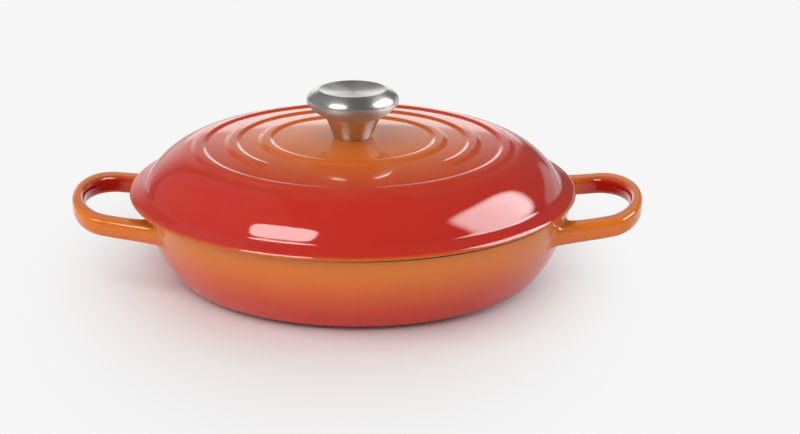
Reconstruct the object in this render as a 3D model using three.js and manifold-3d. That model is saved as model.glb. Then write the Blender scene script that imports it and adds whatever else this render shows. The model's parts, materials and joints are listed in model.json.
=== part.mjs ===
// A shallow enamelled cast iron pot with two cast loop handles, a domed lid and a screwed-on steel knob.
// Millimetres, +Z up. The origin is the middle of the foot, and the handles lie along X.
import * as THREE from "three";
import { mergeVertices } from "three/addons/utils/BufferGeometryUtils.js";
import Module from "manifold-3d";

const wasm = await Module();
wasm.setup();

// Pot casting
const POT_RIM_RADIUS = 132.5; // outside of the rim
const POT_HEIGHT = 50; // foot to rim
const POT_WALL = 5;
const POT_FLOOR = 5;
const FOOT_INSET = 38.5; // from the rim's outside in to the edge of the flat foot
const UNDERSIDE_SLOPE = THREE.MathUtils.degToRad(8); // rise of the underside beyond the foot
const BELLY_RADIUS = 80; // the wall's arc in section
const BELLY_RISE = 4.5; // from the rim up to the middle of that arc
const BELLY_CORNER = 6; // rounding between underside and wall
const FLOOR_CORNER = 22; // rounding between floor and wall inside
const RIM_EDGE = 1; // eased edges of the flat rim

// Loop handles, cast in one with the pot
const HANDLE_REACH = 44.1; // from the rim's outside out to the tip
const HANDLE_WIDTH = 99.6; // across the two arms of one loop, where its bend starts
const HANDLE_ARM = 13.3; // width of an arm
const HANDLE_BAR = 7.1; // width of the bar at the tip
const HANDLE_THICKNESS = 10.3;
const HANDLE_DROP = 4.9; // from the rim down to the middle of the bar
const HANDLE_RISE = 6.6; // how much higher the loop is at its tip than at the wall
const HANDLE_SPREAD = THREE.MathUtils.degToRad(8); // how the arms open towards the wall
const HANDLE_EDGE = 3; // rounding of the handle's edges
const HANDLE_BEND = 23.5; // length of the outer bend at the tip
const GAP_BEND = 19.8; // length of the inner bend at the tip
const HANDLE_FLARE = 10; // widening of an arm's outer side where it meets the wall
const HANDLE_FLARE_LENGTH = 30;
const HANDLE_WEB = 6; // widening of an arm's inner side where it meets the wall
const HANDLE_WEB_LENGTH = 12;

// Lid casting
const LID_OVERHANG = 5.5; // of the flange beyond the rim's outside
const LID_WALL = 4.2;
const LID_SEAT_GAP = 0.3; // between the lid's seat and the rim
const LID_PLAY = 3; // of the locating lip inside the pot's mouth
const LID_SIDE_GAP = 0.3; // left where the lip lies against the mouth
const CROWN_RADIUS = 820; // spherical radius of the crown
const FLANGE_THICKNESS = 3.6;
const FLANGE_EDGE = 1.2; // eased outer edges of the flange
const FLANGE_FILLET = 8.3; // hollow between shoulder and flange
const FLANGE_WIDTH = 2.8; // flat of the flange outside that hollow
const SHOULDER_RADIUS = 43.8; // the shoulder's arc in section
const SHOULDER_FOOT_SLOPE = THREE.MathUtils.degToRad(60); // where the shoulder runs into the hollow
const LIP_DEPTH = 3;
const LIP_WIDTH = 3.5;
const LIP_EDGE = 0.8;

// Raised rings on the crown
const RING_HEIGHT = 1.2;
const RING_WIDTH = 10.4; // from foot to foot
const RING_SIDE = 3.5; // width of a ring's sloping side
const RING_PITCH = 20.75;
const RING_INSET = 43; // from the flange's edge in to the middle of the outermost ring
const CROWN_MARGIN = 8.4; // from that ring's middle out to where the crown runs into the shoulder
const RING_GAP_ANGLE = THREE.MathUtils.degToRad(98); // break in the middle ring at the front
const RING_GAP_TURN = THREE.MathUtils.degToRad(2.4); // how far the lid is turned on the pot

// Knob
const KNOB_SEAT_RADIUS = 13.2; // flat on the lid that the knob stands on
const NECK_FOOT_RADIUS = 11.8;
const NECK_HEIGHT = 13.2; // lid to the crease under the head
const NECK_FLARE = 5.9; // how much wider the neck is at the crease than at its foot
const NECK_WAIST = 2; // how much wider the neck would be at half height if it were not hollowed
const KNOB_SHEET = 1.5; // wall of both steel shells
const HEAD_RADIUS = 28.4;
const HEAD_BOWL_HEIGHT = 11; // crease to the widest place
const HEAD_TOP_HEIGHT = 5.9; // widest place to the crest
const HEAD_CREST_INSET = 7.6; // widest place in to the crest
const HEAD_EDGE = 2.3; // how far the edge's curve stays in from a sharp corner
const HEAD_BOWL_REACH = 0.89; // where the bowl's curve turns up, as a share of its run
const HEAD_BOWL_LIFT = 0.63; // and as a share of its height
const DISH_DEPTH = 2;
const DISH_BANK = 11; // width of the dish's sloping side
const SHELL_GAP = 0.3; // between the head and the neck
const COLLAR_WIDTH = 2.4; // flange of the neck that holds the head from inside

// Screw, insert and washers
const SCREW_RADIUS = 3;
const SCREW_CLEARANCE = 0.5; // radial, in the lid, the washers and the neck
const THREAD_GAP = 0.3; // radial, in the insert
const SCREW_ENGAGEMENT = 8;
const INSERT_HEIGHT = 10;
const INSERT_WALL = 3.2;
const SCREW_HEAD_RADIUS = 6;
const SCREW_HEAD_HEIGHT = 4;
const SCREW_HEAD_CROWN = 1.5; // sloping edge of the head
const SCREW_POINT = 0.8; // chamfer at the end of the thread
const SCREW_SLOT_WIDTH = 1.4;
const SCREW_SLOT_DEPTH = 1.6;
const FLAT_WASHER_RADIUS = 7.5;
const FLAT_WASHER_THICKNESS = 1.2;
const SPRING_WASHER_WIDTH = 2.2;
const SPRING_WASHER_THICKNESS = 1.6;
const SPRING_WASHER_SPLIT = 1.2;
const SPRING_WASHER_SLANT = THREE.MathUtils.degToRad(25);

// Fineness of the facets
const CASTING_SEGMENTS = 60;
const KNOB_SEGMENTS = 32;
const FASTENER_SEGMENTS = 24;
const HEAD_STEPS = 5; // in each curve of the head
const NECK_STEPS = 5;
const RING_STEPS = 6; // across a ring
const LOOP_STEPS = 6; // in each curve of a loop
const LOOP_SECTION_POINTS = 12;

// Points of a section are (radius, height).
function at(radius, height) {
  return new THREE.Vector2(radius, height);
}

// Points along an arc in a section. Angles run from the outward direction, anticlockwise.
function arc(centre, radius, from, to, steps) {
  const points = [];
  for (let i = 0; i <= steps; i++) {
    const angle = THREE.MathUtils.lerp(from, to, i / steps);
    points.push(at(centre.x + radius * Math.cos(angle), centre.y + radius * Math.sin(angle)));
  }
  return points;
}

// A section moved sideways by a wall thickness, to the left of its direction of travel.
function offset(points, distance) {
  return points.map((point, i) => {
    const before = points[Math.max(i - 1, 0)];
    const after = points[Math.min(i + 1, points.length - 1)];
    const along = after.clone().sub(before).normalize();
    return at(Math.max(point.x - along.y * distance, 0), point.y + along.x * distance);
  });
}

// A section turned about the upright axis.
function turned(points, segments) {
  return new THREE.LatheGeometry(points, segments).rotateX(Math.PI / 2);
}

// A section with a hole along the axis returns to where it starts.
function turnedRing(points, segments) {
  return turned([...points, points[0].clone()], segments);
}

function solid(geometry) {
  const bare = geometry.clone();
  bare.deleteAttribute("normal");
  bare.deleteAttribute("uv");
  const merged = mergeVertices(bare, 1e-4);
  return new wasm.Manifold(
    new wasm.Mesh({
      numProp: 3,
      vertProperties: new Float32Array(merged.attributes.position.array),
      triVerts: new Uint32Array(merged.index.array),
    }),
  );
}

function geometryOf(body) {
  const mesh = body.getMesh();
  const geometry = new THREE.BufferGeometry();
  geometry.setAttribute("position", new THREE.BufferAttribute(mesh.vertProperties, 3));
  geometry.setIndex(new THREE.BufferAttribute(mesh.triVerts, 1));
  geometry.computeVertexNormals();
  return geometry;
}

// The wall's arc passes through the rim's outer edge.
const belly = at(
  POT_RIM_RADIUS - Math.sqrt(BELLY_RADIUS ** 2 - BELLY_RISE ** 2),
  POT_HEIGHT + BELLY_RISE,
);
const mouthRadius = wallRadius(POT_HEIGHT, POT_WALL);

// Radius of the wall at a height, at a depth below its outer surface.
function wallRadius(height, depth) {
  return belly.x + Math.sqrt((BELLY_RADIUS - depth) ** 2 - (belly.y - height) ** 2);
}

// Angle on the wall's arc at a height, at a depth below its outer surface.
function wallAngle(height, depth) {
  return -Math.asin((belly.y - height) / (BELLY_RADIUS - depth));
}

// Flat foot, sloping underside, rounded corner and wall, up to a height.
function potOutside(height, steps) {
  const foot = at(POT_RIM_RADIUS - FOOT_INSET, 0);
  const along = at(Math.cos(UNDERSIDE_SLOPE), Math.sin(UNDERSIDE_SLOPE));
  const start = at(foot.x - along.y * BELLY_CORNER, foot.y + along.x * BELLY_CORNER);
  const reach = start.clone().sub(belly);
  const run = reach.dot(along);
  const far = -run + Math.sqrt(run ** 2 - reach.lengthSq() + (BELLY_RADIUS - BELLY_CORNER) ** 2);
  const corner = start.clone().addScaledVector(along, far);
  const meet = Math.atan2(corner.y - belly.y, corner.x - belly.x);
  return [
    at(0, 0),
    foot,
    ...arc(corner, BELLY_CORNER, UNDERSIDE_SLOPE - Math.PI / 2, meet, 4),
    ...arc(belly, BELLY_RADIUS, meet, wallAngle(height, 0), steps).slice(1),
  ];
}

// Wall, rounded corner and floor of the cooking space, from the rim down.
function potInside(steps) {
  const radius = BELLY_RADIUS - POT_WALL;
  const cornerHeight = POT_FLOOR + FLOOR_CORNER;
  const cornerReach = Math.sqrt((radius - FLOOR_CORNER) ** 2 - (belly.y - cornerHeight) ** 2);
  const corner = at(belly.x + cornerReach, cornerHeight);
  const meet = Math.atan2(corner.y - belly.y, corner.x - belly.x);
  return [
    ...arc(belly, radius, wallAngle(POT_HEIGHT - RIM_EDGE, POT_WALL), meet, steps),
    ...arc(corner, FLOOR_CORNER, meet, -Math.PI / 2, 5).slice(1),
    at(0, POT_FLOOR),
  ];
}

// One outline of a loop, drawn from above on the +X side, from the wall round its tip and back to the wall.
// Each arm widens by a curve at the wall, outwards on the loop's outer side and inwards at its gap.
function loopOutline(half, tip, bend, widening, length) {
  const wallX = Math.sqrt(mouthRadius ** 2 - half ** 2);
  const bendX = tip - bend;
  const runX = wallX + length;
  const opening = Math.tan(HANDLE_SPREAD);
  const turnHalf = half + (bendX - wallX) * opening;
  const runHalf = half + (bendX - runX) * opening;
  const rootHalf = turnHalf + widening;
  const rootX = Math.sqrt(mouthRadius ** 2 - rootHalf ** 2);
  const outline = new THREE.Path();
  outline.moveTo(rootX, -rootHalf);
  outline.quadraticCurveTo(wallX, -turnHalf, runX, -runHalf);
  outline.lineTo(bendX, -half);
  outline.absellipse(bendX, 0, bend, half, -Math.PI / 2, Math.PI / 2, false, 0);
  outline.lineTo(runX, runHalf);
  outline.quadraticCurveTo(wallX, turnHalf, rootX, rootHalf);
  return outline.getPoints(LOOP_STEPS);
}

// One loop on the +X side: a section with rounded edges, carried along between two outlines.
// It curves up towards its tip.
function handleLoop() {
  const tip = POT_RIM_RADIUS + HANDLE_REACH;
  const half = HANDLE_WIDTH / 2;
  const gapHalf = half - HANDLE_ARM;
  const outer = loopOutline(half, tip, HANDLE_BEND, HANDLE_FLARE, HANDLE_FLARE_LENGTH);
  const inner = loopOutline(gapHalf, tip - HANDLE_BAR, GAP_BEND, -HANDLE_WEB, HANDLE_WEB_LENGTH);
  const steps = outer.length - 1;
  const halfTurn = Math.PI / LOOP_SECTION_POINTS;
  const edge = HANDLE_EDGE / Math.cos(halfTurn);
  const wallX = Math.sqrt(mouthRadius ** 2 - half ** 2);
  const middle = POT_HEIGHT - HANDLE_DROP - HANDLE_RISE;
  const geometry = new THREE.CylinderGeometry(1, 1, 1, LOOP_SECTION_POINTS, steps, false, halfTurn);
  const position = geometry.attributes.position;
  for (let i = 0; i < position.count; i++) {
    const across = position.getX(i);
    const up = position.getZ(i);
    const step = Math.round((position.getY(i) + 0.5) * steps);
    const width = outer[step].clone().sub(inner[step]);
    const side = Math.sign(across) * (width.length() / 2 - HANDLE_EDGE) + edge * across;
    const place = inner[step].clone().addScaledVector(width, 0.5 + side / width.length());
    const rise = HANDLE_RISE * (Math.max(place.x - wallX, 0) / (tip - wallX)) ** 2;
    const height = Math.sign(up) * (HANDLE_THICKNESS / 2 - HANDLE_EDGE) + edge * up;
    position.setXYZ(i, place.x, place.y, middle + rise + height);
  }
  return geometry;
}

// The bowl with a loop on each side. The loops are cut off halfway through the wall.
function potCasting() {
  const bowl = solid(
    turned(
      [
        ...potOutside(POT_HEIGHT - RIM_EDGE, 7),
        at(POT_RIM_RADIUS - RIM_EDGE, POT_HEIGHT),
        at(mouthRadius + RIM_EDGE, POT_HEIGHT),
        ...potInside(6),
      ],
      CASTING_SEGMENTS,
    ),
  );
  const middle = potOutside(POT_HEIGHT, 7).slice(1);
  const inward = offset(middle, POT_WALL / 2);
  const core = solid(
    turned([at(0, inward[0].y), ...inward, at(0, inward.at(-1).y)], CASTING_SEGMENTS),
  );
  const right = solid(handleLoop()).subtract(core);
  const left = solid(handleLoop().rotateZ(Math.PI)).subtract(core);
  return geometryOf(bowl.add(right).add(left));
}

// The lid is drawn with its seat at height zero.
// The hollow meets the flat of the flange, and the shoulder's arc meets the hollow.
const lidRadius = POT_RIM_RADIUS + LID_OVERHANG;
const hollow = at(lidRadius - FLANGE_WIDTH, FLANGE_THICKNESS + FLANGE_FILLET);
const shoulder = at(
  hollow.x - (SHOULDER_RADIUS + FLANGE_FILLET) * Math.sin(SHOULDER_FOOT_SLOPE),
  hollow.y - (SHOULDER_RADIUS + FLANGE_FILLET) * Math.cos(SHOULDER_FOOT_SLOPE),
);

// The crown runs into the shoulder a little outside the outermost ring.
const outerRing = lidRadius - RING_INSET;
const middleRingRadius = outerRing - RING_PITCH;
const innerRing = middleRingRadius - RING_PITCH;
const crownEdge = outerRing + CROWN_MARGIN;
const crownAngle = Math.acos((crownEdge - shoulder.x) / SHOULDER_RADIUS);

function crownHeight(radius) {
  const edgeHeight = shoulder.y + SHOULDER_RADIUS * Math.sin(crownAngle);
  const edgeReach = Math.sqrt(CROWN_RADIUS ** 2 - crownEdge ** 2);
  return edgeHeight + Math.sqrt(CROWN_RADIUS ** 2 - radius ** 2) - edgeReach;
}

// A ring's height above the crown, across its width from -1 to 1: two sloping sides and a level top.
function ridge(across) {
  const fromFoot = ((1 - Math.abs(across)) * RING_WIDTH) / 2;
  return RING_HEIGHT * THREE.MathUtils.smoothstep(fromFoot, 0, RING_SIDE);
}

// Points over a ring on the crown, from its outer foot to its inner one.
function ridgePoints(middle) {
  const points = [];
  for (let i = 0; i <= RING_STEPS; i++) {
    const across = 1 - (2 * i) / RING_STEPS;
    const radius = middle + (across * RING_WIDTH) / 2;
    points.push(at(radius, crownHeight(radius) + ridge(across)));
  }
  return points;
}

const lipRadius = mouthRadius - LID_PLAY;
const lipInside = lipRadius - LIP_WIDTH;
const screwHole = SCREW_RADIUS + SCREW_CLEARANCE;
const knobSeat = crownHeight(KNOB_SEAT_RADIUS);
const washerSeat = knobSeat - LID_WALL;

// The middle ring is a full ridge with a wedge taken out at the front.
function middleRing() {
  const top = ridgePoints(middleRingRadius);
  const bottom = [top.at(-1), top[0]].map((edge) => at(edge.x, edge.y - LID_WALL / 2));
  const ring = solid(turnedRing([...top, ...bottom], CASTING_SEGMENTS));
  const reach = lidRadius / Math.cos(RING_GAP_ANGLE / 2);
  const front = RING_GAP_TURN - Math.PI / 2;
  const wedge = new THREE.Shape([
    at(0, 0),
    at(Math.cos(front - RING_GAP_ANGLE / 2), Math.sin(front - RING_GAP_ANGLE / 2)).multiplyScalar(reach),
    at(Math.cos(front + RING_GAP_ANGLE / 2), Math.sin(front + RING_GAP_ANGLE / 2)).multiplyScalar(reach),
  ]);
  const height = crownHeight(0) + RING_HEIGHT;
  const cut = new THREE.ExtrudeGeometry(wedge, { depth: height, bevelEnabled: false });
  return ring.subtract(solid(cut));
}

function lidCasting() {
  const shoulderFoot = Math.PI / 2 - SHOULDER_FOOT_SLOPE;
  const insideRadius = SHOULDER_RADIUS - LID_WALL;
  const insideFoot = Math.acos((lipInside - shoulder.x) / insideRadius);
  const outside = [
    ...arc(hollow, FLANGE_FILLET, -Math.PI / 2, -Math.PI + shoulderFoot, 4),
    ...arc(shoulder, SHOULDER_RADIUS, shoulderFoot, crownAngle, 7).slice(1),
    ...ridgePoints(outerRing),
    at(middleRingRadius, crownHeight(middleRingRadius)),
    ...ridgePoints(innerRing),
    at(innerRing / 2, crownHeight(innerRing / 2)),
    at(KNOB_SEAT_RADIUS, knobSeat),
    at(screwHole, knobSeat),
  ];
  const inside = [
    at(screwHole, washerSeat),
    at(FLAT_WASHER_RADIUS + SCREW_CLEARANCE, washerSeat),
    at(innerRing, crownHeight(innerRing) - LID_WALL),
    ...arc(shoulder, insideRadius, Math.PI / 2, insideFoot, 6),
    at(lipInside, LIP_EDGE - LIP_DEPTH),
    at(lipInside + LIP_EDGE, -LIP_DEPTH),
    at(lipRadius - LIP_EDGE, -LIP_DEPTH),
    at(lipRadius, LIP_EDGE - LIP_DEPTH),
    at(lipRadius, 0),
    at(lidRadius - FLANGE_EDGE, 0),
    at(lidRadius, FLANGE_EDGE),
    at(lidRadius, FLANGE_THICKNESS - FLANGE_EDGE),
    at(lidRadius - FLANGE_EDGE, FLANGE_THICKNESS),
  ];
  const dome = solid(turnedRing([...outside, ...inside], CASTING_SEGMENTS));
  return geometryOf(dome.add(middleRing()));
}

// The knob's shells are drawn with the lid's flat at height zero.
const creaseRadius = NECK_FOOT_RADIUS + NECK_FLARE;

// Outer surface of the head: bowl, rounded edge, crest and dish, from the crease to the axis.
function headOutside() {
  const widest = NECK_HEIGHT + HEAD_BOWL_HEIGHT;
  const crestRadius = HEAD_RADIUS - HEAD_CREST_INSET;
  const crest = widest + HEAD_TOP_HEIGHT;
  const dish = crest - DISH_DEPTH;
  const bellyRadius = THREE.MathUtils.lerp(creaseRadius, HEAD_RADIUS, HEAD_BOWL_REACH);
  const bellyHeight = NECK_HEIGHT + HEAD_BOWL_HEIGHT * HEAD_BOWL_LIFT;
  const profile = new THREE.Path();
  profile.moveTo(creaseRadius, NECK_HEIGHT);
  profile.quadraticCurveTo(bellyRadius, bellyHeight, HEAD_RADIUS, widest);
  profile.quadraticCurveTo(HEAD_RADIUS - HEAD_EDGE, crest - HEAD_EDGE, crestRadius, crest);
  profile.quadraticCurveTo(crestRadius - DISH_BANK, dish, 0, dish);
  return profile.getPoints(HEAD_STEPS);
}

const head = headOutside();
const bowlSlope = Math.atan2(head[1].y - head[0].y, head[1].x - head[0].x);
const sheetRise = KNOB_SHEET / Math.cos(bowlSlope);

function knobHead() {
  const inside = offset(head, KNOB_SHEET).reverse();
  inside[0].x = 0;
  inside.at(-1).set(creaseRadius, NECK_HEIGHT + sheetRise);
  return turned([...inside, ...head], KNOB_SEGMENTS);
}

// The neck has a floor for the screw to pull on, and a collar that holds the head from inside.
function knobNeck() {
  const throat = creaseRadius - SHELL_GAP;
  const collarEnd = creaseRadius + COLLAR_WIDTH;
  const collarStart = NECK_HEIGHT + sheetRise + SHELL_GAP;
  const collarRise = (collarEnd - throat) * Math.tan(bowlSlope);
  const flare = new THREE.Path();
  flare.moveTo(NECK_FOOT_RADIUS, 0);
  flare.quadraticCurveTo(NECK_FOOT_RADIUS + NECK_WAIST, NECK_HEIGHT / 2, throat, NECK_HEIGHT);
  const outside = flare.getPoints(NECK_STEPS);
  const inside = offset(outside, KNOB_SHEET).filter((point) => point.y > 2 * KNOB_SHEET);
  return turnedRing(
    [
      at(screwHole, 0),
      ...outside,
      at(throat, collarStart),
      at(collarEnd, collarStart + collarRise),
      at(collarEnd, collarStart + collarRise + KNOB_SHEET),
      at(throat - KNOB_SHEET, collarStart + sheetRise),
      ...inside.reverse(),
      at(NECK_FOOT_RADIUS - KNOB_SHEET, KNOB_SHEET),
      at(screwHole, KNOB_SHEET),
    ],
    KNOB_SEGMENTS,
  );
}

// A plain ring between two heights.
function ring(inner, outer, bottom, top) {
  return turnedRing(
    [at(inner, bottom), at(outer, bottom), at(outer, top), at(inner, top)],
    FASTENER_SEGMENTS,
  );
}

function knobInsert() {
  const bore = SCREW_RADIUS + THREAD_GAP;
  return ring(bore, bore + INSERT_WALL, KNOB_SHEET, KNOB_SHEET + INSERT_HEIGHT);
}

// The fasteners are stacked under the lid, each flat against the next.
const flatWasherFoot = washerSeat - FLAT_WASHER_THICKNESS;
const springWasherFoot = flatWasherFoot - SPRING_WASHER_THICKNESS;

function flatWasher() {
  return ring(screwHole, FLAT_WASHER_RADIUS, flatWasherFoot, washerSeat);
}

// The washer's ends stand apart at a slanted split.
function springWasher() {
  const outer = screwHole + SPRING_WASHER_WIDTH;
  const body = solid(ring(screwHole, outer, springWasherFoot, flatWasherFoot));
  const split = new THREE.BoxGeometry(outer, SPRING_WASHER_SPLIT, 3 * SPRING_WASHER_THICKNESS);
  split.rotateX(SPRING_WASHER_SLANT);
  split.translate(outer / 2 + SCREW_RADIUS / 2, 0, (springWasherFoot + flatWasherFoot) / 2);
  return geometryOf(body.subtract(solid(split)));
}

// A pan head with a slot, and a plain shank as wide as the thread.
function knobScrew() {
  const foot = springWasherFoot - SCREW_HEAD_HEIGHT;
  const end = knobSeat + KNOB_SHEET + SCREW_ENGAGEMENT;
  const body = solid(
    turned(
      [
        at(0, foot),
        at(SCREW_HEAD_RADIUS - SCREW_HEAD_CROWN, foot),
        at(SCREW_HEAD_RADIUS, foot + SCREW_HEAD_CROWN),
        at(SCREW_HEAD_RADIUS, springWasherFoot),
        at(SCREW_RADIUS, springWasherFoot),
        at(SCREW_RADIUS, end - SCREW_POINT),
        at(SCREW_RADIUS - SCREW_POINT, end),
        at(0, end),
      ],
      FASTENER_SEGMENTS,
    ),
  );
  const slot = new THREE.BoxGeometry(3 * SCREW_HEAD_RADIUS, SCREW_SLOT_WIDTH, 2 * SCREW_SLOT_DEPTH);
  slot.translate(0, 0, foot);
  return geometryOf(body.subtract(solid(slot)));
}

function piece(name, geometry, color, roughness, metalness) {
  const material = new THREE.MeshStandardMaterial({ color, roughness, metalness });
  const mesh = new THREE.Mesh(geometry, material);
  mesh.name = name;
  return mesh;
}

// The knob stands on the lid, and the lid lies on the rim, pushed over to the left as far as its lip allows.
const knob = new THREE.Group();
knob.position.z = knobSeat;
knob.add(
  piece("knob_head", knobHead(), 0x8d8c89, 0.32, 1),
  piece("knob_neck", knobNeck(), 0x8d8c89, 0.28, 1),
  piece("knob_insert", knobInsert(), 0x9a9890, 0.4, 1),
);

const lid = new THREE.Group();
lid.position.set(LID_SIDE_GAP - LID_PLAY, 0, POT_HEIGHT + LID_SEAT_GAP);
lid.add(
  piece("lid_casting", lidCasting(), 0xc23a22, 0.12, 0),
  knob,
  piece("knob_screw", knobScrew(), 0xa5a39e, 0.35, 1),
  piece("flat_washer", flatWasher(), 0xa5a39e, 0.35, 1),
  piece("spring_washer", springWasher(), 0x8f8d88, 0.4, 1),
);

const pot = new THREE.Group();
pot.add(piece("pot_casting", potCasting(), 0xdb7a30, 0.12, 0), lid);

export default pot;
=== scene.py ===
# %% [markdown]
# # An enamelled cast iron pot
#
# A shallow round pot stands on a pale table. It is cast iron under coloured glass enamel, with two loop
# handles cast in one with the bowl, a domed lid with raised rings, and a brushed steel knob. The packed
# CAD model is loaded first and stays as it is. Smooth meshes are then built on top of it, in its frame.

# %% Load the frame
import json
import math

import bmesh
import bpy
import numpy as np
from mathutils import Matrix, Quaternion, Vector

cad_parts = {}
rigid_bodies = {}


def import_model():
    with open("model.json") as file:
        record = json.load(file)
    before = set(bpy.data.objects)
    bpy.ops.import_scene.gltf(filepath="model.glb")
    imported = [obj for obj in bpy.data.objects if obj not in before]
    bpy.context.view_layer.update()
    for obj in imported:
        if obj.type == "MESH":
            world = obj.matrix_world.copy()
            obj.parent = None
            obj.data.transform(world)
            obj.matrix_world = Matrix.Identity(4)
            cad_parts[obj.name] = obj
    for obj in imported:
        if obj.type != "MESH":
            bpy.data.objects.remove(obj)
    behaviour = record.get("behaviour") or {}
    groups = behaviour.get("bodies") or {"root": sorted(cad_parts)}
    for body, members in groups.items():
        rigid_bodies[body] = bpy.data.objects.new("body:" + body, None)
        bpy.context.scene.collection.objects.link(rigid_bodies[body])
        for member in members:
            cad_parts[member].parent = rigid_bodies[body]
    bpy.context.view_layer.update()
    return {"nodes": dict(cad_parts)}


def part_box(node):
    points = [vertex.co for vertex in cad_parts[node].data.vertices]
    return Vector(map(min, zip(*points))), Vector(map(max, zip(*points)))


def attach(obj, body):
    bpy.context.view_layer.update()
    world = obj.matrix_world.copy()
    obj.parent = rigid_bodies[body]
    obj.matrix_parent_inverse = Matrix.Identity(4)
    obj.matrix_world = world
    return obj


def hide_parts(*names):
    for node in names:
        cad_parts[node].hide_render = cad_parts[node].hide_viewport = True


for default in list(bpy.data.objects):
    bpy.data.objects.remove(default)
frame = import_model()

# %% [markdown]
# ## Sizes
#
# Shapes are easiest to think about in millimetres, so every section below is drawn in them and turned into
# Blender's metres at the very end. The main sizes come from the frame, so that a mesh always fits its node.

# %% Read the main sizes from the frame
MM = 0.001


def box_mm(node):
    """The lowest and highest corner of a CAD node, in millimetres."""
    low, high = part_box(node)
    return np.array(low) / MM, np.array(high) / MM


pot_high = box_mm("pot_casting")[1]
lid_low, lid_high = box_mm("lid_casting")
neck_low = box_mm("knob_neck")[0]
head_low, head_high = box_mm("knob_head")
handle_tip = pot_high[0]
pot_height = pot_high[2]
lid_radius = (lid_high[1] - lid_low[1]) / 2
lid_axis = (lid_low[0] + lid_high[0]) / 2
print(f"handle tip {handle_tip:.1f}, pot height {pot_height:.1f}, lid radius {lid_radius:.1f}, axis {lid_axis:.1f}")

# %% [markdown]
# ## Camera
#
# The photograph looks at the pot from a little above, along the middle between the handles, with a long
# lens. A long lens keeps both handles nearly the same size. The lens shift does what a view camera's rising
# front does: it moves the picture sideways and up without tilting the camera, so upright edges stay upright.

# %% Place the camera
IMAGE_WIDTH = 800
LENS_PIXELS = 1929
SENSOR_WIDTH = 36
CAMERA_DISTANCE = 1.2
CAMERA_ELEVATION = math.radians(17.49)
CAMERA_AZIMUTH = math.radians(0.45)
CAMERA_TARGET = Vector((0, 0, 0.0529))
SHIFT_PIXELS = (42.8, -32.5)

camera = bpy.data.objects.new("photo_camera", bpy.data.cameras.new("photo_camera"))
bpy.context.scene.collection.objects.link(camera)
level_reach = math.cos(CAMERA_ELEVATION)
towards_camera = Vector(
    (level_reach * math.sin(CAMERA_AZIMUTH), -level_reach * math.cos(CAMERA_AZIMUTH), math.sin(CAMERA_ELEVATION))
)
camera.location = CAMERA_TARGET + CAMERA_DISTANCE * towards_camera
camera.rotation_euler = towards_camera.to_track_quat("Z", "Y").to_euler()
camera.data.sensor_width = SENSOR_WIDTH
camera.data.lens = LENS_PIXELS * SENSOR_WIDTH / IMAGE_WIDTH
camera.data.shift_x = SHIFT_PIXELS[0] / IMAGE_WIDTH
camera.data.shift_y = SHIFT_PIXELS[1] / IMAGE_WIDTH
bpy.context.scene.camera = camera
print(f"camera: {camera.data.lens:.1f} mm lens, {camera.location.length:.2f} m away")

# %% [markdown]
# ## Drawing sections
#
# Nearly everything on this pot was turned or moulded round one axis, so its shape is a section: a line of
# points, each a radius and a height. They could be drawn by hand as Blender curves. Worked out from a few
# sizes, they fit the frame exactly. Straight lines, arcs and one kind of curve are enough to draw them all.


# %% Lines, arcs and curves of a section
def line(start, end, steps):
    """Points on a straight line."""
    return np.linspace(start, end, steps + 1)


def arc(centre, radius, start, end, steps):
    """Points on an arc. Angles run from the outward direction, anticlockwise, in radians."""
    angles = np.linspace(start, end, steps + 1)
    return np.stack([centre[0] + radius * np.cos(angles), centre[1] + radius * np.sin(angles)], axis=1)


def curve(start, pull, end, steps):
    """Points on a curve that leaves start towards pull and reaches end coming from pull."""
    t = np.linspace(0, 1, steps + 1)[:, None]
    return (1 - t) ** 2 * np.array(start) + 2 * t * (1 - t) * np.array(pull) + t**2 * np.array(end)


def joined(*parts):
    """Stretches of a section in one line, with the point that two stretches share kept once."""
    points = [np.array(parts[0], float)]
    for part in parts[1:]:
        shared = np.allclose(points[-1][-1], part[0], atol=1e-6)
        points.append(np.array(part, float)[1 if shared else 0:])
    return np.concatenate(points)


print("a quarter circle in four steps:", arc((0, 0), 1, 0, math.pi / 2, 4).round(2).tolist())

# %% [markdown]
# ## From a section to a mesh
#
# Blender's Screw modifier can turn a section too. A small function of our own is used instead, because it
# gives back the rows of points, and the pot needs them: four patches of its wall are opened for the handles.


# %% Turn a section, and make a piece
def lathe(section, columns, closed=False):
    """Turns a section about the upright axis. Gives the points, their numbers row by row, and strips of faces."""
    turns = np.arange(columns) * 2 * math.pi / columns
    points, rows, strips = [], [], []
    for radius, height in section:
        first = len(points)
        if radius < 1e-6:
            points.append((0, 0, height))
            rows.append([first] * columns)
        else:
            points.extend((radius * math.cos(t), radius * math.sin(t), height) for t in turns)
            rows.append(list(range(first, first + columns)))
    for lower, upper in zip(rows, rows[1:] + (rows[:1] if closed else [])):
        corners = zip(lower, lower[1:] + lower[:1], upper[1:] + upper[:1], upper)
        faces = [tuple(dict.fromkeys(face)) for face in corners]
        strips.append([face for face in faces if len(face) > 2])
    return points, rows, strips


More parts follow.
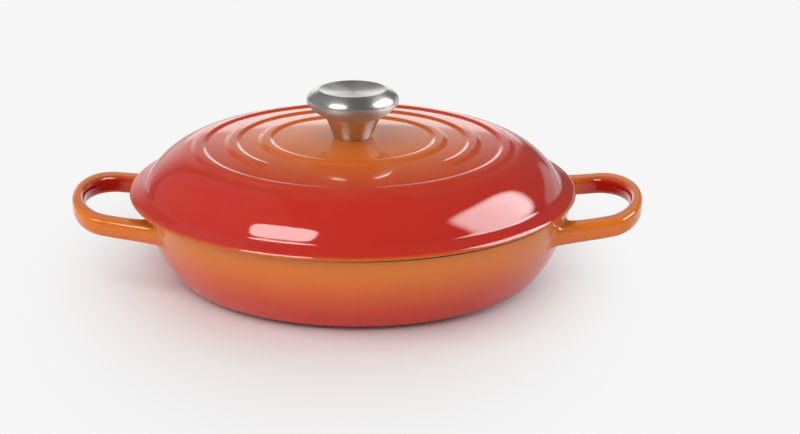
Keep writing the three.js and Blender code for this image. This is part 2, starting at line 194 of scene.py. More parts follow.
def make_piece(name, points, strips, origin=(0, 0, 0), zones=None, gap_side=None):
    """A smooth-shaded object from strips of faces. zones gives each strip's material number.

    gap_side, where given, is kept with the points as an attribute that a material can read.
    """
    zones = zones or [0] * len(strips)
    faces = [face for strip in strips for face in strip]
    numbers = [zone for strip, zone in zip(strips, zones) for face in strip]
    mesh = bpy.data.meshes.new(name)
    mesh.from_pydata([tuple(MM * value for value in point) for point in points], [], faces)
    mesh.polygons.foreach_set("material_index", numbers)
    if gap_side is not None:
        mesh.attributes.new("gap_side", "FLOAT", "POINT").data.foreach_set("value", gap_side)
    shape = bmesh.new()
    shape.from_mesh(mesh)
    bmesh.ops.delete(shape, geom=[v for v in shape.verts if not v.link_faces], context="VERTS")
    bmesh.ops.recalc_face_normals(shape, faces=shape.faces)
    shape.to_mesh(mesh)
    shape.free()
    mesh.shade_smooth()
    piece = bpy.data.objects.new(name, mesh)
    piece.location = [MM * value for value in origin]
    bpy.context.scene.collection.objects.link(piece)
    print(f"{name}: {len(mesh.vertices)} points, {len(mesh.polygons)} faces")
    return piece


print("a tube of four columns has", len(lathe([(1, 0), (1, 1)], 4)[2][0]), "faces")

# %% [markdown]
# ## The bowl
#
# The bowl is one casting. Its foot is flat, its underside rises gently to a rounded corner, and its wall
# is a single generous arc that stands nearly upright at the rim. The rim itself is ground flat for the lid.
# A cylinder with loop cuts and a subdivision surface would come close. Arcs that touch are used instead,
# because they leave no bumps for the glossy enamel to show.

# %% Draw the bowl's section
POT_RIM_RADIUS = 132.5
POT_WALL = 5
POT_FLOOR = 5
FOOT_INSET = 38.5
UNDERSIDE_SLOPE = math.radians(8)
BELLY_RADIUS = 80
BELLY_RISE = 4.5
BELLY_CORNER = 6
FLOOR_CORNER = 22
RIM_EDGE = 1
RIM_STEPS = 4
WALL_ROWS = 16

belly = np.array([POT_RIM_RADIUS - math.sqrt(BELLY_RADIUS**2 - BELLY_RISE**2), pot_height + BELLY_RISE])
inner_belly = BELLY_RADIUS - POT_WALL
mouth_radius = belly[0] + math.sqrt(inner_belly**2 - BELLY_RISE**2)
foot = np.array([POT_RIM_RADIUS - FOOT_INSET, 0])
along = np.array([math.cos(UNDERSIDE_SLOPE), math.sin(UNDERSIDE_SLOPE)])
start = foot + BELLY_CORNER * np.array([-along[1], along[0]])
run = (start - belly) @ along
reach = (start - belly) @ (start - belly)
corner = start + along * (math.sqrt(run**2 - reach + (BELLY_RADIUS - BELLY_CORNER) ** 2) - run)
wall_start = math.atan2(corner[1] - belly[1], corner[0] - belly[0])
wall_end = -math.asin((BELLY_RISE + RIM_EDGE) / BELLY_RADIUS)
inside_start = -math.asin((BELLY_RISE + RIM_EDGE) / inner_belly)
floor_rise = POT_FLOOR + FLOOR_CORNER
floor_reach = math.sqrt((inner_belly - FLOOR_CORNER) ** 2 - (belly[1] - floor_rise) ** 2)
floor_corner = belly + np.array([floor_reach, floor_rise - belly[1]])
inside_end = math.atan2(floor_corner[1] - belly[1], floor_corner[0] - belly[0])

underside = joined(
    line((0, 0), foot, 8),
    arc(corner, BELLY_CORNER, UNDERSIDE_SLOPE - math.pi / 2, wall_start, 8),
)
wall = arc(belly, BELLY_RADIUS, wall_start, wall_end, WALL_ROWS)
inside = joined(
    arc(belly, inner_belly, inside_start, inside_end, 14),
    arc(floor_corner, FLOOR_CORNER, inside_end, -math.pi / 2, 14),
    line((floor_corner[0], POT_FLOOR), (0, POT_FLOOR), 8),
)
rim = joined(
    curve(wall[-1], (POT_RIM_RADIUS, pot_height), (POT_RIM_RADIUS - RIM_EDGE, pot_height), RIM_STEPS),
    line((POT_RIM_RADIUS - RIM_EDGE, pot_height), (mouth_radius + RIM_EDGE, pot_height), 3),
    curve((mouth_radius + RIM_EDGE, pot_height), (mouth_radius, pot_height), inside[0], RIM_STEPS),
)
print(f"mouth {2 * mouth_radius:.1f} mm across, foot {2 * foot[0]:.1f} mm across")

# %% [markdown]
# ## The loop handles
#
# Each handle is a flat loop with rounded edges that rises a little towards its tip and widens into the wall.
# Seen from above it lies between two outlines, an outer one and the one round the gap for the fingers. A
# rounded section is carried along between them, which is what sweeping a profile along a path does, but
# with a width that changes all the way: wide at the wall, slim at the tip.

# %% Draw a loop's outlines from above
HANDLE_WIDTH = 99.6
HANDLE_ARM = 12.8
HANDLE_BAR = 7.1
HANDLE_OPENING = math.tan(math.radians(8))
HANDLE_BEND = 23.5
GAP_BEND = 19.8
HANDLE_FLARE = 13.5
HANDLE_FLARE_LENGTH = 30
HANDLE_WEB = 8
HANDLE_WEB_LENGTH = 17
LOOP_START = 135
FLARE_STEPS, RUN_STEPS, BEND_STEPS = 10, 4, 26
FLARE_SAMPLES = 400


def loop_outline(half, tip, bend, widening, length):
    """Half an outline, from just outside the wall to the tip, and its direction where it starts."""
    bend_x = tip - bend
    join = math.atan2(half, HANDLE_OPENING * bend)
    meet = np.array([bend_x + bend * math.cos(join), half * math.sin(join)])
    wall_x = math.sqrt(mouth_radius**2 - half**2)
    turn = np.array([wall_x, meet[1] + (meet[0] - wall_x) * HANDLE_OPENING])
    end = np.array([wall_x + length, meet[1] + (meet[0] - wall_x - length) * HANDLE_OPENING])
    root_half = turn[1] + widening
    root = np.array([math.sqrt(mouth_radius**2 - root_half**2), root_half])
    flare = curve(root, turn, end, FLARE_SAMPLES)
    flare = flare[np.hypot(*flare.T) >= LOOP_START]
    towards_wall = (flare[0] - flare[1]) / np.linalg.norm(flare[0] - flare[1])
    kept = np.linspace(0, len(flare) - 1, FLARE_STEPS + 1).round().astype(int)
    angles = np.linspace(join, 0, BEND_STEPS + 1)
    tip_bend = np.stack([bend_x + bend * np.cos(angles), half * np.sin(angles)], axis=1)
    return joined(flare[kept], line(end, meet, RUN_STEPS), tip_bend), towards_wall


half_width = HANDLE_WIDTH / 2
outer, outer_root = loop_outline(half_width, handle_tip, HANDLE_BEND, HANDLE_FLARE, HANDLE_FLARE_LENGTH)
inner, inner_root = loop_outline(
    half_width - HANDLE_ARM, handle_tip - HANDLE_BAR, GAP_BEND, -HANDLE_WEB, HANDLE_WEB_LENGTH
)
print(f"arm {np.linalg.norm(outer[0] - inner[0]):.1f} mm wide at the wall, {HANDLE_BAR} mm at the tip")

# %% [markdown]
# The rounded section is sampled so that its four corners fall on points 0, 16, 24 and 40 of 48. The same
# 48 points surround a patch of 16 by 8 faces on the bowl's wall, so handle and wall join face to face.

# %% Carry a rounded section along the loop
HANDLE_THICKNESS = 11
HANDLE_DROP = 4.7
HANDLE_RISE = 7.4
HANDLE_EDGE = 3
ACROSS, UPRIGHT = 16, 8
# The gap's deeper red also reaches part way over the inner part of each arm, and fades out near the wall.
GAP_RED_ON_TOP = 0.6
GAP_RED_TOP_WIDTH = 0.75
GAP_FADE = (134, 152)


def side_points(length, thickness, steps):
    """One side of a rounded rectangle, corner middle to corner middle: places along and out, and normals."""
    quarter = HANDLE_EDGE * math.pi / 4
    flat = length - 2 * HANDLE_EDGE
    walk = np.linspace(0, flat + 2 * quarter, steps + 1)[:-1]
    before = np.clip((quarter - walk) / HANDLE_EDGE, 0, None)
    after = np.clip((walk - quarter - flat) / HANDLE_EDGE, 0, None)
    lean = after - before
    middle = np.clip(walk - quarter, 0, flat) - flat / 2
    along_side = middle + HANDLE_EDGE * np.sin(lean)
    out = thickness / 2 - HANDLE_EDGE + HANDLE_EDGE * np.cos(lean)
    return along_side, out, np.sin(lean), np.cos(lean)


def rounded_section(width, thickness):
    """Columns of lateral place, height, and the lateral and upward parts of the normal, all the way round."""
    top = side_points(width, thickness, ACROSS)
    side = side_points(thickness, width, UPRIGHT)
    return np.concatenate(
        [
            np.stack([-top[0], top[1], -top[2], top[3]], axis=1),
            np.stack([-side[1], -side[0], -side[3], -side[2]], axis=1),
            np.stack([top[0], -top[1], top[2], -top[3]], axis=1),
            np.stack([side[1], side[0], side[3], side[2]], axis=1),
        ]
    )


rise_start = math.sqrt(mouth_radius**2 - half_width**2)
rise_run = handle_tip - rise_start


def handle_middle(x):
    """Height of the middle of the loop's thickness at a distance from the pot's axis."""
    along_loop = np.clip(x - rise_start, 0, None) / rise_run
    return pot_height - HANDLE_DROP - HANDLE_RISE + HANDLE_RISE * along_loop**2


def loop_ring(outer_point, inner_point):
    """The section's 48 points between a point of the outer outline and one of the inner outline.

    A fourth column says how much each point belongs to the gap for the fingers: 1 on the sides of the gap,
    less over the half of the arm that lies next to it, and nothing close to the wall.
    """
    width = np.linalg.norm(outer_point - inner_point)
    section = rounded_section(width, HANDLE_THICKNESS)
    across = 0.5 + section[:, 0] / width
    place = inner_point + np.outer(across, outer_point - inner_point)
    towards_gap = np.maximum(-section[:, 2], GAP_RED_ON_TOP * np.clip(1 - across / GAP_RED_TOP_WIDTH, 0, 1))
    along_arm = np.clip((place[:, 0] - GAP_FADE[0]) / (GAP_FADE[1] - GAP_FADE[0]), 0, 1)
    return np.column_stack([place, handle_middle(place[:, 0]) + section[:, 1], towards_gap * along_arm])


arm_rings = [loop_ring(o, i) for o, i in zip(outer, inner)]
print(f"{len(arm_rings)} sections of {len(arm_rings[0])} points in half a loop")

# %% [markdown]
# Where the arm meets the wall the casting has a soft hollow, not a hard line. Each of the 48 points runs on
# along the arm until it hits the wall, then a curve leads from the arm over to a point a little further out
# on the wall. The wall is an arc turned round the axis, so a point on it is just two angles. A Boolean and a
# bevel could make this join too, but would leave thin triangles that show as creases in the gloss.

# %% Round the arm into the wall
ROOT_HOLLOW = 4.5
HOLLOW_STEPS = 6
WALL_TRIES = 30


def wall_place(turn, lift):
    """The points of the wall at angles round the pot's axis and along the wall's arc."""
    radius = belly[0] + BELLY_RADIUS * np.cos(lift)
    return np.stack([radius * np.cos(turn), radius * np.sin(turn), belly[1] + BELLY_RADIUS * np.sin(lift)], axis=-1)


def wall_angles(point):
    """The two angles of the points of the wall that are nearest to some points."""
    turn = np.arctan2(point[:, 1], point[:, 0])
    lift = np.arctan2(point[:, 2] - belly[1], np.hypot(point[:, 0], point[:, 1]) - belly[0])
    return turn, lift


def depth(point):
    """How far outside the wall some points are."""
    return np.hypot(np.hypot(point[:, 0], point[:, 1]) - belly[0], point[:, 2] - belly[1]) - BELLY_RADIUS


start_ring, start_gap = arm_rings[0][:, :3], arm_rings[0][:, 3]
section = rounded_section(np.linalg.norm(outer[0] - inner[0]), HANDLE_THICKNESS)
share = 0.5 + section[:, 0:1] / np.linalg.norm(outer[0] - inner[0])
heading = np.column_stack([inner_root + share * (outer_root - inner_root), np.zeros(len(share))])
heading = heading / np.linalg.norm(heading, axis=1, keepdims=True)
reached = np.zeros((len(share), 1))
for _ in range(WALL_TRIES):
    reached += depth(start_ring + reached * heading)[:, None]
met = start_ring + reached * heading
turn, lift = wall_angles(met)
turn_out = turn + section[:, 2] * ROOT_HOLLOW / np.hypot(met[:, 0], met[:, 1])
lift_out = lift + section[:, 3] * ROOT_HOLLOW / BELLY_RADIUS
landing = wall_place(turn_out, lift_out)
hollow = [curve(a, b, c, HOLLOW_STEPS) for a, b, c in zip(landing, met, start_ring)]
hollow_fade = np.linspace(0, 1, HOLLOW_STEPS + 1)
hollow_rings = [
    np.column_stack([ring, fade * start_gap]) for ring, fade in zip(np.stack(hollow, axis=1)[:-1], hollow_fade)
]
print(f"root: turns {np.degrees(turn_out.min()):.1f} to {np.degrees(turn_out.max()):.1f} degrees")
print(f"root: heights {landing[:, 2].min():.1f} to {landing[:, 2].max():.1f} mm")

# %% Lead the root's outline over to the edge of a patch of the wall
POT_COLUMNS = 300
ROOT_COLUMNS = (11, 27)
WALL_RINGS = 3


def round_patch(columns, levels):
    """The places round a patch, in the order of the section's points: along its top first."""
    return (
        [(column, levels[0]) for column in columns[:-1]]
        + [(columns[-1], level) for level in levels[:-1]]
        + [(column, levels[-1]) for column in columns[::-1][:-1]]
        + [(columns[0], level) for level in levels[::-1][:-1]]
    )


turn_step = 2 * math.pi / POT_COLUMNS
lift_step = (wall_end - wall_start) / WALL_ROWS
patch_turns = np.linspace(ROOT_COLUMNS[1], ROOT_COLUMNS[0], ACROSS + 1) * turn_step
patch_lifts = wall_end - np.arange(UPRIGHT + 1) * lift_step
edge_turn, edge_lift = np.array(round_patch(patch_turns, patch_lifts)).T
wall_rings = []
for s in np.arange(1, WALL_RINGS) / WALL_RINGS:
    place = wall_place(edge_turn + s * (turn_out - edge_turn), edge_lift + s * (lift_out - edge_lift))
    wall_rings.append(np.column_stack([place, np.zeros(len(place))]))
half_loop = wall_rings + hollow_rings + arm_rings
print(f"{len(half_loop)} rings of points from the wall to the tip")

# %% [markdown]
# The bowl is turned as a whole, the four patches of its wall are taken out, and the rings of points of each
# loop are strung between them. The left loop is the right one turned half round. Bowl and handles are cast in
# one, so they become one mesh with shared points, and the enamel runs over the join without a seam.

# %% Turn the bowl
ENAMEL_OUTSIDE, DARK_RIM, ENAMEL_INSIDE = range(3)

bowl_section = joined(underside, wall, rim, inside)
points, rows, strips = lathe(bowl_section, POT_COLUMNS)
gap_side = [0.0] * len(points)
wall_top = len(underside) + len(wall) - 2
rim_end = wall_top + len(rim) - 1
# The dark coat starts on the rim's rounded outer edge, where it is painted shadow of the gap under the lid's
# flange. On the flat rim and its inner edge it is the real ground coat.
zones = [ENAMEL_OUTSIDE] * wall_top + [DARK_RIM] * (rim_end - wall_top)
zones += [ENAMEL_INSIDE] * (len(strips) - rim_end)
print(f"bowl: {len(strips)} strips of faces, {rim_end - wall_top} of them on the rim")


# %% Open the wall and string the loops
def patch_edge(side, turned):
    """The numbers of the 48 points round one patch."""
    columns = [(turned + side * c) % POT_COLUMNS for c in range(ROOT_COLUMNS[1], ROOT_COLUMNS[0] - 1, -1)]
    levels = [wall_top - level for level in range(UPRIGHT + 1)]
    return [rows[level][column] for column, level in round_patch(columns, levels)]


def patch_columns(side, turned):
    """The columns of faces that one patch takes up."""
    low, high = sorted((side * ROOT_COLUMNS[0], side * ROOT_COLUMNS[1]))
    return {(turned + c) % POT_COLUMNS for c in range(low, high)}


def string_rings(first, rings, last):
    """Adds strips of faces from the points numbered first, through rings of new points, to those numbered last."""
    numbered = [first]
    for ring in rings:
        numbered.append(list(range(len(points), len(points) + len(ring))))
        points.extend(map(tuple, ring[:, :3]))
        gap_side.extend(ring[:, 3])
    numbered.append(last)
    for a, b in zip(numbered, numbered[1:]):
        strips.append(list(zip(a, a[1:] + a[:1], b[1:] + b[:1], b)))
        zones.append(ENAMEL_OUTSIDE)


opened = set()
for turned, facing in ((0, 1), (POT_COLUMNS // 2, -1)):
    one_arm = [ring * (facing, -facing, 1, 1) for ring in half_loop]
    other_arm = [ring * (facing, facing, 1, 1) for ring in half_loop[:-1]]
    opened |= patch_columns(1, turned) | patch_columns(-1, turned)
    string_rings(patch_edge(-1, turned), one_arm + other_arm[::-1], patch_edge(1, turned))
for row in range(wall_top - UPRIGHT, wall_top):
    strips[row] = [face for column, face in enumerate(strips[row]) if column not in opened]

pot = make_piece("pot", points, strips, zones=zones, gap_side=gap_side)
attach(pot, "pot")
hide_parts("pot_casting")

# %% [markdown]
# ## The lid
#
# The lid is a shallow dome. From the outside in, its section has a flange that slopes and rolls over at its
# edge, a tight hollow, a full rounded shoulder and a nearly flat crown with three raised rings. Each ring is a
# low step up, a level top and a step down. Below, a lip keeps the lid in the pot's mouth. Rings could be laid
# on a plain dome as tori, but here they belong to the section, as in the casting.

# %% Draw the lid's section
CROWN_RADIUS = 820
FLANGE_FOOT = 1.54
FLANGE_ROUND = 4
FLANGE_SLOPE = math.radians(18)
FLANGE_STEEP = math.radians(70)
FLANGE_CREASE = 4
SHOULDER_RADIUS = 43.8
SHOULDER_INSET = 47.93
SHOULDER_DROP = 14.14
RING_HEIGHT = 1.2
RING_WIDTH = 10.4
RING_SIDE = 3.5
RING_PITCH = 20.75
RING_INSET = 43
CROWN_MARGIN = 8.4
KNOB_SEAT_RADIUS = 13.2

shoulder = np.array([lid_radius - SHOULDER_INSET, -SHOULDER_DROP])
flange_middle = np.array([lid_radius, FLANGE_FOOT]) - FLANGE_ROUND * np.array(
    [math.sin(FLANGE_STEEP), math.cos(FLANGE_STEEP)]
)
flange_up = np.array([math.sin(FLANGE_SLOPE), math.cos(FLANGE_SLOPE)])
crease_reach = SHOULDER_RADIUS + FLANGE_CREASE
crease_height = (flange_middle - shoulder) @ flange_up + FLANGE_ROUND + FLANGE_CREASE
shoulder_foot = math.asin(crease_height / crease_reach) - FLANGE_SLOPE
crease = shoulder + crease_reach * np.array([math.cos(shoulder_foot), math.sin(shoulder_foot)])
outer_ring = lid_radius - RING_INSET
middle_ring = outer_ring - RING_PITCH
inner_ring = middle_ring - RING_PITCH
crown_edge = outer_ring + CROWN_MARGIN


def eased(share):
    """A share from 0 to 1 that sets off and arrives gently."""
    return share * share * (3 - 2 * share)


def shoulder_height(radius):
    """Height of the shoulder's arc above the lid's seat."""
    return shoulder[1] + np.sqrt(SHOULDER_RADIUS**2 - (radius - shoulder[0]) ** 2)


def crown_height(radius):
    """Height of the plain crown above the lid's seat. It meets the shoulder's arc at the crown's edge."""
    rise = np.sqrt(CROWN_RADIUS**2 - radius**2) - math.sqrt(CROWN_RADIUS**2 - crown_edge**2)
    return shoulder_height(crown_edge) + rise


def ridge(radius, middle):
    """Height that a ring adds to the crown: two sloping sides and a level top."""
    up = np.clip((RING_WIDTH / 2 - np.abs(radius - middle)) / RING_SIDE, 0, 1)
    return RING_HEIGHT * eased(up)


knob_seat = float(crown_height(KNOB_SEAT_RADIUS))
print(f"crown {float(crown_height(0)):.2f} mm above the seat, knob's flat at {knob_seat:.2f} mm")

# %% [markdown]
# The middle ring stops short of the front and leaves a plain stretch of crown there. Its two ends run out
# smoothly. It could be cut with a Boolean. Lowering the points there keeps the mesh even. The crown is sampled
# every half millimetre, because the rings are small and the enamel over them is glossy: a coarse mesh would
# show as a jagged highlight. Crown and shoulder meet at a blunt corner, and the enamel rounds it off: there
# the height is a soft minimum of the two.

# %% Draw the top of the lid
CROWN_STEP = 0.5
CROWN_SOFTNESS = 0.6

soft_edge = crown_edge + CROWN_MARGIN / 2
shoulder_top = math.acos((soft_edge - shoulder[0]) / SHOULDER_RADIUS)
crown_radii = np.linspace(soft_edge, KNOB_SEAT_RADIUS, round((soft_edge - KNOB_SEAT_RADIUS) / CROWN_STEP) + 1)
plain = crown_height(crown_radii)
arched = shoulder_height(np.clip(crown_radii, outer_ring, None))
arched = np.where(crown_radii > outer_ring, arched, plain + CROWN_SOFTNESS)
overlap = np.clip(CROWN_SOFTNESS - np.abs(arched - plain), 0, None)
crown_heights = np.minimum(arched, plain) - overlap**2 / (4 * CROWN_SOFTNESS)
for ring_radius in (outer_ring, middle_ring, inner_ring):
    crown_heights += ridge(crown_radii, ring_radius)
lid_top = joined(
    arc(crease, FLANGE_CREASE, -math.pi / 2 - FLANGE_SLOPE, -math.pi + shoulder_foot, 8),
    arc(shoulder, SHOULDER_RADIUS, shoulder_foot, shoulder_top, 40),
    np.stack([crown_radii, crown_heights], axis=1),
)
print(f"top of the lid: {len(lid_top)} points, {crown_heights.max():.2f} mm high")

# %% Draw the lid's hole, underside, lip and edge
LID_WALL = 4.2
LID_PLAY = 3
FLANGE_LIFT = 0.9
FLANGE_EDGE = 0.9
SEAT_INSET = 3
LIP_DEPTH = 3
LIP_WIDTH = 3.5
LIP_EDGE = 0.8
SCREW_HOLE = 3.5
WASHER_SEAT = 8

lip_radius = mouth_radius - LID_PLAY
lip_inside = lip_radius - LIP_WIDTH
lid_hollow = SHOULDER_RADIUS - LID_WALL
lid_hole = joined(
    line((KNOB_SEAT_RADIUS, knob_seat), (SCREW_HOLE, knob_seat), 3),
    line((SCREW_HOLE, knob_seat), (SCREW_HOLE, knob_seat - LID_WALL), 3),
    line((SCREW_HOLE, knob_seat - LID_WALL), (WASHER_SEAT, knob_seat - LID_WALL), 2),
)
inside_foot = math.acos((lip_inside - shoulder[0]) / lid_hollow)
inside_crown = np.linspace(WASHER_SEAT, shoulder[0], 24)
inside_top = shoulder[1] + lid_hollow
inside_share = (inside_crown - WASHER_SEAT) / (shoulder[0] - WASHER_SEAT)
inside_fall = (knob_seat - LID_WALL - inside_top) * (1 - inside_share**2)
lid_underside = joined(
    np.stack([inside_crown, inside_top + inside_fall], axis=1),
    arc(shoulder, lid_hollow, math.pi / 2, inside_foot, 24),
    line((lip_inside, shoulder[1] + lid_hollow * math.sin(inside_foot)), (lip_inside, LIP_EDGE - LIP_DEPTH), 4),
)
lid_lip = joined(
    curve((lip_inside, LIP_EDGE - LIP_DEPTH), (lip_inside, -LIP_DEPTH), (lip_inside + LIP_EDGE, -LIP_DEPTH), 4),
    line((lip_inside + LIP_EDGE, -LIP_DEPTH), (lip_radius - LIP_EDGE, -LIP_DEPTH), 2),
    curve((lip_radius - LIP_EDGE, -LIP_DEPTH), (lip_radius, -LIP_DEPTH), (lip_radius, LIP_EDGE - LIP_DEPTH), 4),
    line((lip_radius, LIP_EDGE - LIP_DEPTH), (lip_radius, 0), 2),
    line((lip_radius, 0), (POT_RIM_RADIUS - SEAT_INSET, 0), 2),
    line((POT_RIM_RADIUS - SEAT_INSET, 0), (lid_radius - FLANGE_EDGE, FLANGE_LIFT), 4),
)
flange_edge = joined(
    curve((lid_radius - FLANGE_EDGE, FLANGE_LIFT), (lid_radius, FLANGE_LIFT), (lid_radius, FLANGE_FOOT), 6),
    arc(flange_middle, FLANGE_ROUND, math.pi / 2 - FLANGE_STEEP, math.pi / 2 - FLANGE_SLOPE, 14),
    line(flange_middle + FLANGE_ROUND * flange_up, lid_top[0], 4)[:-1],
)
print(f"lip {2 * lip_radius:.1f} mm across, {LIP_DEPTH} mm deep")

# %% Turn the lid and level the middle ring at the front
RING_BREAK = math.radians(49)
RING_BREAK_FADE = math.radians(3)
LID_TURN = math.radians(2.85)
LID_COLUMNS = 288
LID_SEAT_Z = lid_low[2] + LIP_DEPTH

lid_section = joined(lid_top, lid_hole, lid_underside, lid_lip, flange_edge)
points, rows, strips = lathe(lid_section, LID_COLUMNS, closed=True)
points = np.array(points)
top_points = slice(0, LID_COLUMNS * len(lid_top))
radii = np.hypot(points[top_points, 0], points[top_points, 1])
from_front = np.abs(np.arctan2(points[top_points, 0], -points[top_points, 1]) - LID_TURN)
levelled = np.clip((RING_BREAK + RING_BREAK_FADE - from_front) / (2 * RING_BREAK_FADE), 0, 1)
points[top_points, 2] -= ridge(radii, middle_ring) * eased(levelled)
underside_start = len(lid_top) + len(lid_hole) - 2
lip_start = underside_start + len(lid_underside) - 1
lip_end = lip_start + len(lid_lip) - 1
zones = [ENAMEL_OUTSIDE] * len(strips)
zones[underside_start:lip_start] = [ENAMEL_INSIDE] * (lip_start - underside_start)
zones[lip_start:lip_end] = [DARK_RIM] * (lip_end - lip_start)
lid = make_piece("lid", points, strips, origin=(lid_axis, 0, LID_SEAT_Z), zones=zones)
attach(lid, "lid")
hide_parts("lid_casting")

# %% [markdown]
# ## The knob
#
# The knob is two thin steel shells. The neck flares up from the lid like a trumpet, and the head is a shallow
# bowl with a dished top that a thumb can press on. Where they meet there is a fine crease. A Solidify modifier
# could give the sheet its thickness. Moving the outside along its normals does the same to the section, and
# leaves room to shape the collar inside.

# %% Draw and turn the knob's head
NECK_FOOT_RADIUS = 11.8
NECK_HEIGHT = 13.2
NECK_FLARE = 5.9
KNOB_SHEET = 1.5
HEAD_BOWL_HEIGHT = 10
HEAD_CREST_INSET = 7.6
HEAD_NOSE = 4
HEAD_BOWL_LIFT = 0.6
DISH_DEPTH = 2
DISH_BANK = 11
KNOB_COLUMNS = 180

knob_z = neck_low[2]
head_radius = (head_high[0] - head_low[0]) / 2
crease_radius = NECK_FOOT_RADIUS + NECK_FLARE
crest_radius = head_radius - HEAD_CREST_INSET
widest = NECK_HEIGHT + HEAD_BOWL_HEIGHT
head_crest = head_high[2] - knob_z
dish = head_crest - DISH_DEPTH
bowl_pull = (head_radius, NECK_HEIGHT + HEAD_BOWL_LIFT * HEAD_BOWL_HEIGHT)
head_outside = joined(
    curve((crease_radius, NECK_HEIGHT), bowl_pull, (head_radius, widest), 24),
    curve((head_radius, widest), (head_radius, widest + HEAD_NOSE), (crest_radius, head_crest), 24),
    curve((crest_radius, head_crest), (crest_radius - DISH_BANK, dish), (0, dish), 30),
)
head_steps = np.gradient(head_outside, axis=0)
head_normals = np.stack([-head_steps[:, 1], head_steps[:, 0]], axis=1)
head_normals = head_normals / np.linalg.norm(head_normals, axis=1, keepdims=True)
head_inside = (head_outside + KNOB_SHEET * head_normals)[::-1]
head_inside[0, 0] = 0
points, rows, strips = lathe(joined(head_outside, head_inside), KNOB_COLUMNS, closed=True)
knob_head = make_piece("knob_head_shell", points, strips, origin=(lid_axis, 0, knob_z))
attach(knob_head, "lid")
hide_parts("knob_head")

# %% Draw and turn the knob's neck
NECK_WAIST = 2
SHELL_GAP = 0.3
COLLAR_WIDTH = 2.4

throat = crease_radius - SHELL_GAP
bowl_slope = (bowl_pull[1] - NECK_HEIGHT) / (bowl_pull[0] - crease_radius)
sheet_rise = KNOB_SHEET * math.hypot(1, bowl_slope)
collar_start = NECK_HEIGHT + sheet_rise + SHELL_GAP
collar_end = crease_radius + COLLAR_WIDTH
collar_rise = (collar_end - throat) * bowl_slope
waist = (NECK_FOOT_RADIUS + NECK_WAIST, NECK_HEIGHT / 2)
neck_outside = curve((NECK_FOOT_RADIUS, 0), waist, (throat, NECK_HEIGHT), 24)
neck_inside = neck_outside[neck_outside[:, 1] > 2 * KNOB_SHEET][::-1] - (KNOB_SHEET, 0)
neck_section = joined(
    line((SCREW_HOLE, 0), (NECK_FOOT_RADIUS, 0), 3),
    neck_outside,
    [(throat, collar_start), (collar_end, collar_start + collar_rise)],
    [(collar_end, collar_start + collar_rise + KNOB_SHEET), (throat - KNOB_SHEET, collar_start + sheet_rise)],
    neck_inside,
    [(NECK_FOOT_RADIUS - KNOB_SHEET, KNOB_SHEET), (SCREW_HOLE, KNOB_SHEET)],
)
points, rows, strips = lathe(neck_section, KNOB_COLUMNS, closed=True)
knob_neck = make_piece("knob_neck_shell", points, strips, origin=(lid_axis, 0, knob_z))
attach(knob_neck, "lid")
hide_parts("knob_neck")

# %% [markdown]
# ## Colours and nodes
#
# Colours are written as the sRGB hex values that a paint program shows, and one function turns them into the
# linear values that Blender reckons with. Another small function adds a node with its settings and links.
# Inputs that have no name of their own in Blender are given by number: _0 is the first.

# %% Helpers for materials
SMOOTH = {"interpolation_type": "SMOOTHSTEP"}
COLOUR = {"data_type": "RGBA"}


def linear(hex_colour):
    """A linear RGBA colour from an sRGB hex value such as "#C8602A"."""
    parts = [int(hex_colour[i:i + 2], 16) / 255 for i in (1, 3, 5)]
    return tuple(p / 12.92 if p <= 0.04045 else ((p + 0.055) / 1.055) ** 2.4 for p in parts) + (1.0,)


def add_node(tree, kind, settings=(), **inputs):
    """Adds a node, named without its first word ShaderNode.

    settings are its own properties, and each input is a value or the socket that feeds it.
    """
    made = tree.nodes.new("ShaderNode" + kind)
    for name, value in dict(settings).items():
        setattr(made, name, value)
    for name, value in inputs.items():
        socket = made.inputs[int(name[1:])] if name[1:].isdigit() else made.inputs[name.replace("_", " ")]
        if isinstance(value, bpy.types.NodeSocket):
            tree.links.new(value, socket)
        else:
            socket.default_value = value
    return made


def new_material(name):
    """An empty node material with its output, and its tree."""
    material = bpy.data.materials.new(name)
    material.use_nodes = True
    material.node_tree.nodes.clear()
    return material, material.node_tree


def per_metre(size_mm):
    """The scale of a noise texture whose grains are about that size."""
    return 1 / (size_mm * MM)


print("linear value of #808080:", round(linear("#808080")[0], 3))

# %% [markdown]
# ## Enamel
#
# Vitreous enamel is powdered glass, sprayed on the iron and fired until it melts. Two colours sprayed over
# each other while wet fade from orange to red. What the eye gets is a saturated colour under a clear glassy
# skin. A clear coat over a dull base would give that too, but colour and skin are one glass here, so the
# shader is a single dielectric with the index of glass and a low roughness. The melted skin is never quite
# flat: it has a faint ripple, called orange peel, which frays the edges of reflections.

# %% Glossy enamel that fades between two colours
GLASS_IOR = 1.52
ENAMEL_ROUGHNESS = (0.025, 0.06)
NOISE_RANGE = (0.3, 0.7)
PEEL_SIZE = 4
PEEL_HEIGHT = 0.006
SPRAY_GRAIN, GRAIN_SHARE = 1.1, 0.10
SPRAY_CLOUD, CLOUD_SHARE = 18, 0.14


